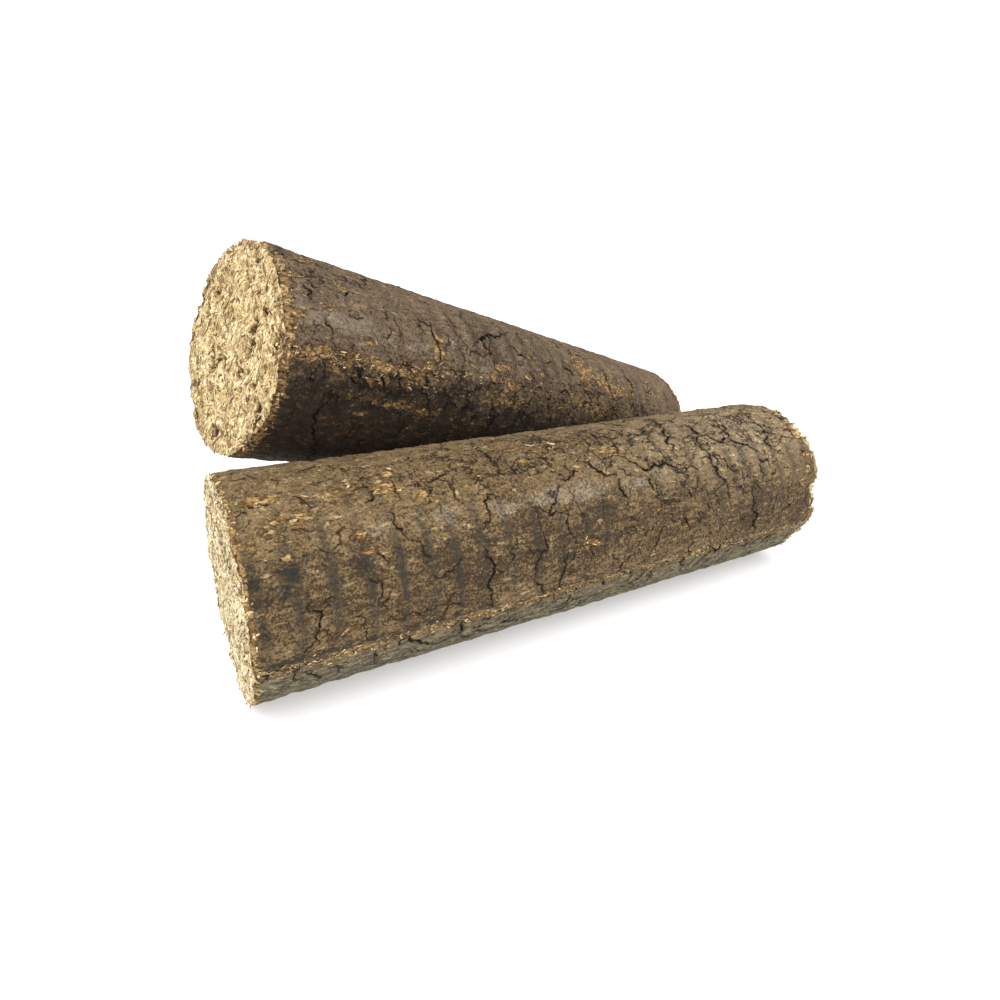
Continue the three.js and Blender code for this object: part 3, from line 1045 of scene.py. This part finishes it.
def bark_finish(name, tones, slick, charring):
    """Pressed bark: dust, rings, char, glaze, torn fibres and cracks, with painted shade in the
    cracks and on the flank, and a painted sheen on the glaze.
    """
    material, tree, shader = finish_tree(name)
    place = map_of(tree, "place", "Vector")
    length_wise = stretched(place, 0.28)
    maps = {
        "length_wise": length_wise,
        "mottle": noise(place, 0.25, 5.0, 0.75) - 0.5,
        "edge": noise(place, 0.3, 6.0, 0.75) - 0.5,
        "dust": noise(place, 1.3, 4.0, 0.8) - 0.5,
        "fine": grains(place, 1.45),
        "coarse": grains(length_wise, 0.8),
        "fibre": noise(stretched(place, 0.5), 1.1, 4.0, 0.7),
    }
    edge, dust = maps["edge"], maps["dust"]
    base = bark_dust(tree, place, tones, maps)

    # Darker bands in the stroke rings here and there, and the smooth strip below the seam, painted
    # greyer as a reflection of the floor.
    broken = ramp(noise(place, 0.13, 5.0, 0.75), 0.38, 0.54, 0.45, 1.0)
    ringed = maths("MULTIPLY_ADD", map_of(tree, "ringed"), 0.78, 0.12, clamp=True)
    base = mixed(map_of(tree, "stroke") * broken * ringed, base, tones["ring"])
    base = mixed(map_of(tree, "below") * slick * 0.85, base, strip_with_painted_sheen(tones, maps))

    # Charred patches with bare chips in them, then patches that the hot die glazed: glossier, and
    # painted lighter grey as a painted sheen.
    char = ramp(edge * 4.0 + map_of(tree, "char") + dust * 2.2, 0.38, 0.84)
    base = mixed(char * charring, base, tones["char"])
    bare = ramp(grains(stretched(place, 0.5), 0.9), 0.82, 0.9) * char * ramp(edge, -0.06, 0.06)
    base = mixed(bare * 0.7, base, tones["fibre_dark"])
    gloss_and_painted_sheen = ramp(edge * 3.4 + map_of(tree, "glaze") + dust * 2.0, 0.42, 0.85)
    base = mixed(gloss_and_painted_sheen * ramp(maps["fine"], 0.0, 1.0, 0.14, 0.5), base, tones["glaze"])

    torn, straw = torn_fibres(tree, place, tones, maps)
    base = mixed(torn * 0.88, base, straw)
    # painted shade: fine cracks are painted as dark lines
    line = hairlines(tree, place) * 0.9
    base = mixed(line, base, tones["crack"])
    # painted shade: the insides of the cracks are painted dark
    split = ramp(noise(place, 0.9, 3.0, 0.7), 0.34, 0.5, 0.7, 1.0)
    base = mixed(ramp(map_of(tree, "crack"), 0.1, 0.5) * split, base, tones["crack"])

    height = maps["fine"] * 0.4 + dust * 1.2 + maps["coarse"] * 0.3
    height += noise(place, 0.5, 5.0, 0.75) * 1.7 + maps["fibre"] * torn * 2.0 - line * 1.2
    fill(shader, {
        "Base Color": base,
        "Roughness": maths("ADD", 0.9 - gloss_and_painted_sheen * 0.34 - char * 0.12, torn * 0.2, clamp=True),
        "Specular IOR Level": 0.17,
        "Normal": bumps(height, 0.68),
    })
    return material


def straw_finish(name, tones):
    """A broken face: pale coarse shavings, with dark pits between them, their shade painted in."""
    material, tree, shader = finish_tree(name)
    place = map_of(tree, "place", "Vector")
    upright = stretched(frayed(place, 0.09, 3.0), 1.0, 1.0, 0.4)
    fibre = noise(upright, 1.0, 4.0, 0.75, 0.8)
    tone = fibre * 2.4 + grains(upright, 0.9) * 0.45 + noise(place, 0.12, 3.0, 0.6) * 0.9 - 1.15
    # painted shade: the pits and the crease are darker; the rim is darker in its own colour
    tone -= map_of(tree, "pit") * 1.2 + map_of(tree, "rim") * 0.35
    fill(shader, {"Base Color": steps_of(tone, tones), "Roughness": 0.92,
                  "Normal": bumps(fibre, 1.0)})
    return material


def shaving_finish(name, tones):
    """Loose shavings, each with a shade of its own, from the first to the last."""
    material, tree, shader = finish_tree(name)
    own = steps_of(map_of(tree, "tone"), tones)
    streak = noise(add(tree, "ShaderNodeTexCoord", {}, "Object"), 2.2, 2.0, 0.6)
    darker = mixed(0.5, own, colour(70, 48, 24))
    fill(shader, {"Base Color": mixed(ramp(streak, 0.55, 0.38), own, darker),
                  "Roughness": 0.85, "Normal": bumps(streak, 0.15, 0.6)})
    return material


# crack: painted shade inside cracks, hairlines, pits and between torn fibres
# glaze: the colour of a painted sheen
# strip_dark, strip, strip_light: greyer, as a painted reflection of the floor
FRONT_TONES = palette(
    soot=(62, 48, 33), dark=(92, 74, 50), mid=(128, 106, 74), light=(162, 137, 97),
    grain=(210, 184, 136), ring=(56, 51, 43), strip_dark=(50, 46, 35), strip=(94, 90, 73),
    strip_light=(152, 144, 116), char=(38, 36, 33), glaze=(162, 153, 136),
    weathered=(146, 134, 118), fibre=(168, 131, 80), fibre_dark=(104, 73, 41),
    fibre_light=(218, 192, 140), crack=(34, 23, 15))
REAR_TONES = palette(
    soot=(50, 38, 27), dark=(78, 63, 47), mid=(110, 92, 71), light=(136, 116, 90),
    grain=(174, 150, 114), ring=(62, 53, 44), strip_dark=(40, 34, 27), strip=(62, 54, 42),
    strip_light=(86, 76, 60), char=(29, 22, 15), glaze=(142, 130, 113),
    weathered=(122, 108, 90), fibre=(156, 122, 78), fibre_dark=(94, 67, 39),
    fibre_light=(206, 178, 128), crack=(26, 17, 11))

# The shades of the broken faces, of the shavings on them and of the torn fibres of the skin.
FRONT_STRAW = shades((96, 72, 42), (166, 142, 96), (206, 188, 146), (232, 222, 190))
REAR_STRAW = shades((50, 32, 15), (130, 102, 58), (186, 163, 115), (220, 204, 162))
FRONT_SHAVINGS = shades((92, 69, 39), (156, 133, 90), (192, 175, 135), (204, 190, 155),
                        (226, 215, 187))
REAR_SHAVINGS = shades((78, 53, 27), (126, 98, 56), (168, 142, 92), (184, 161, 113),
                       (198, 177, 131), (224, 209, 170))
FRONT_FIBRES = shades((70, 52, 34), (116, 90, 58), (146, 120, 80), (172, 146, 100),
                      (216, 196, 150))
REAR_FIBRES = shades((62, 44, 27), (104, 79, 48), (134, 106, 68), (158, 128, 86),
                     (198, 172, 128))


def finishes_of(name, tones, straw, shavings, fibres, slick, charring):
    """The four finishes of one log."""
    return {
        "bark": bark_finish(name + "_pressed_bark", tones, slick, charring),
        "face": straw_finish(name + "_pressed_straw", straw),
        "shaving": shaving_finish(name + "_straw_shavings", shavings),
        "flake": shaving_finish(name + "_torn_fibres", fibres),
    }


# --- Putting the logs together ----------------------------------------------------------

def front_log_place():
    """The front log lies along +X on its flat."""
    low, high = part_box("front_log")
    axis = Vector(((low[0] + high[0] - LOG_LENGTH * MM) / 2, (low[1] + high[1]) / 2,
                   high[2] - LOG_RADIUS * MM))
    return Matrix.Translation(axis)


def rear_log_place(front_axis):
    """The rear log crosses the front one, touching it, with its far rim on the ground."""
    lean, cross = math.radians(LEAN_ANGLE), math.radians(CROSS_ANGLE)
    direction = Vector((math.cos(cross) * math.cos(lean), math.sin(cross) * math.cos(lean),
                        -math.sin(lean)))
    outwards = Vector((1, 0, 0)).cross(direction).normalized()
    apart = (2 * LOG_RADIUS + RESTING_GAP) * MM
    nearest = front_axis + Vector((TOUCH_POINT * MM, 0, 0)) + outwards * apart
    far_height = (LOG_RADIUS * math.cos(lean) - FOOT_WEAR) * MM
    beyond = (nearest.z - far_height) / math.sin(lean)
    start = nearest + direction * (beyond - LOG_LENGTH * MM)
    turned = Matrix.Rotation(cross, 4, "Z") @ Matrix.Rotation(lean, 4, "Y")
    return Matrix.Translation(start) @ turned


def put_in_place(piece, place):
    """Moves a piece's mesh, and lays whatever would be under the ground flat on it."""
    mesh = piece.data
    mesh.transform(place)
    spots = np.empty(len(mesh.vertices) * 3, np.float32)
    mesh.vertices.foreach_get("co", spots)
    spots[2::3] = np.maximum(spots[2::3], 0.0)
    mesh.vertices.foreach_set("co", spots)
    mesh.update()


def pressed_bark(log, relief, finishes):
    """The body of a log: its bar, roughened."""
    smooth = new_object(log["node"] + "_smooth", log_mesh(log))
    half_angle = FLAT_HALF_ANGLE if log["flat"] else 0
    values = {
        "Ring depth": STROKE_GROOVE, "Slick below seam": log["slick_below"],
        "Lowest": -LOG_RADIUS * math.cos(math.radians(half_angle)) * MM,
        "Shift": (log["seed"] * 0.37, 0.0, 0.0),
        "Bark": finishes["bark"], "Straw": finishes["face"],
    }
    for end in ("Near", "Far"):
        for part, size in zip(("back", "in", "ragged"), log[end.lower() + "_rim"]):
            values[f"{end} rim {part}"] = size
    body = run_tree(smooth, relief, values, log["node"] + "_pressed_bark")
    bpy.data.objects.remove(smooth)
    body.data.shade_smooth()
    body.data.set_sharp_from_angle(angle=math.radians(55))
    return body


# What is strewn over a log: where, its finish, how many to the square cm, then length, width
# and thickness in mm, tilt and turn in radians, the grain that it follows, how far it rises
# and bends in mm, and how many cells its flat map has each way.
UPRIGHT = (0.0, 0.0, 1.0)
LENGTHWISE = (1.0, 0.0, 0.0)
STREWN = {
    "end_shavings": ("inner_face", "shaving", 34.0, (2.6, 0.8, 0.32), 0.4, 3.14, UPRIGHT,
                     -0.05, 1.0, 80.0),
    "end_chips": ("middle_face", "shaving", 4.0, (5.5, 1.9, 0.5), 0.22, 1.2, UPRIGHT,
                  0.0, 1.2, 80.0),
    "end_fibres": ("middle_face", "shaving", 18.0, (5.2, 0.5, 0.34), 0.2, 1.0, UPRIGHT,
                   0.1, 2.6, 80.0),
    "rim_crumbs": ("crumbly", "flake", 70.0, (1.9, 0.8, 0.4), 0.12, 3.14, LENGTHWISE,
                   -0.45, 1.0, 64.0),
    "flakes": ("shreds", "flake", 14.0, (3.0, 0.62, 0.26), 0.2, 0.8, LENGTHWISE,
               -0.1, 1.2, 64.0),
    "seam_fibres": ("seam", "flake", 110.0, (2.0, 0.5, 0.28), 0.3, 0.8, LENGTHWISE,
                    0.02, 1.2, 48.0),
}


def strew(log, body, shavings, finishes):
    """The shavings, chips, crumbs, flakes and fibres on a log."""
    pieces = []
    for number, (label, kind) in enumerate(STREWN.items()):
        where, finish, count, size, tilt, turn, grain, rise, bend, cells = kind
        values = {"Where": where, "Material": finishes[finish], "Per square cm": count,
                  "Tilt": tilt, "Turn": turn, "Grain": grain, "Rise": rise, "Bend": bend,
                  "Cells": cells, "Seed": log["seed"] * 10 + number}
        for name, millimetres in zip(("Length", "Width", "Thickness"), size):
            values[name] = millimetres * MM
        pieces.append(run_tree(body, shavings, values, log["node"] + "_" + label))
    return pieces


def build_log(log, place, relief, shavings, finishes):
    """One log, with all that is strewn over it, in its place."""
    body = pressed_bark(log, relief, finishes)
    for piece in [body, *strew(log, body, shavings, finishes)]:
        put_in_place(piece, place)
        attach(piece, "root")
    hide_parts(log["node"])


# --- Stage, light and camera ------------------------------------------------------------

def look_from(front_axis):
    """The camera: a short lens, left of the logs' near ends, a little above them."""
    camera = new_object("camera", bpy.data.cameras.new("camera"))
    yaw, pitch, roll = (math.radians(angle) for angle in (32.279, 22.105, 3.033))
    forward = Vector((math.sin(yaw) * math.cos(pitch), math.cos(yaw) * math.cos(pitch),
                      -math.sin(pitch)))
    level = Vector((math.cos(yaw), -math.sin(yaw), 0))
    upright = level.cross(forward)
    right = math.cos(roll) * level + math.sin(roll) * upright
    up = math.cos(roll) * upright - math.sin(roll) * level
    turned = Matrix((right, up, -forward)).transposed().to_4x4()
    spot = front_axis + Vector((-0.02462, -0.23135, 0.13036))
    camera.matrix_world = Matrix.Translation(spot) @ turned
    camera.data.lens = 23.06
    camera.data.sensor_width = 36.0
    camera.data.shift_x = -0.0034
    camera.data.shift_y = -0.0073
    camera.data.clip_start = 0.01
    bpy.context.scene.camera = camera


def lay_floor():
    """A plain pale floor, lit a little from within, so that shadows on it stay light."""
    material, _, shader = finish_tree("pale_floor")
    fill(shader, {"Base Color": colour(200, 200, 200), "Roughness": 0.9,
                  "Emission Color": (1.0, 1.0, 1.0, 1.0), "Emission Strength": 0.35})
    mesh = bpy.data.meshes.new("floor")
    reach = 4.0
    corners = [(-reach, -reach, 0), (reach, -reach, 0), (reach, reach, 0), (-reach, reach, 0)]
    mesh.from_pydata(corners, [], [(0, 1, 2, 3)])
    mesh.materials.append(material)
    new_object("floor", mesh)


def soft_box(name, spot, aim, size, power):
    """A square soft light that faces a point."""
    lamp = bpy.data.lights.new(name, "AREA")
    lamp.energy, lamp.size = power, size
    light = new_object(name, lamp)
    light.location = spot
    light.rotation_euler = (Vector(aim) - Vector(spot)).to_track_quat("-Z", "Y").to_euler()


def light_studio():
    """White all round, a broad soft light from high in front, and two low ones."""
    world = bpy.data.worlds.new("studio")
    world.use_nodes = True
    fill(world.node_tree.nodes["Background"], {"Color": (1.0, 1.0, 1.0, 1.0), "Strength": 1.0})
    bpy.context.scene.world = world
    lamp = bpy.data.lights.new("overhead", "SUN")
    lamp.energy, lamp.angle = 3.0, math.radians(45)
    light = new_object("overhead", lamp)
    light.rotation_euler = Vector((-0.42, -0.48, 1.2)).to_track_quat("Z", "Y").to_euler()
    soft_box("left_key", (-1.3, -0.35, 0.35), (-0.1, 0, 0.08), 0.6, 3.0)
    soft_box("front_fill", (-0.2, -1.2, 0.45), (0, 0, 0.03), 1.2, 9.5)


def main():
    view = bpy.context.scene.view_settings
    view.view_transform = "Standard"
    front_place = front_log_place()
    look_from(front_place.translation)
    light_studio()
    lay_floor()
    relief, shavings = relief_tree(), shavings_tree()
    front = finishes_of("front", FRONT_TONES, FRONT_STRAW, FRONT_SHAVINGS, FRONT_FIBRES,
                        slick=1.0, charring=0.85)
    rear = finishes_of("rear", REAR_TONES, REAR_STRAW, REAR_SHAVINGS, REAR_FIBRES,
                       slick=0.3, charring=0.8)
    build_log(FRONT_LOG, front_place, relief, shavings, front)
    build_log(REAR_LOG, rear_log_place(front_place.translation), relief, shavings, rear)


main()
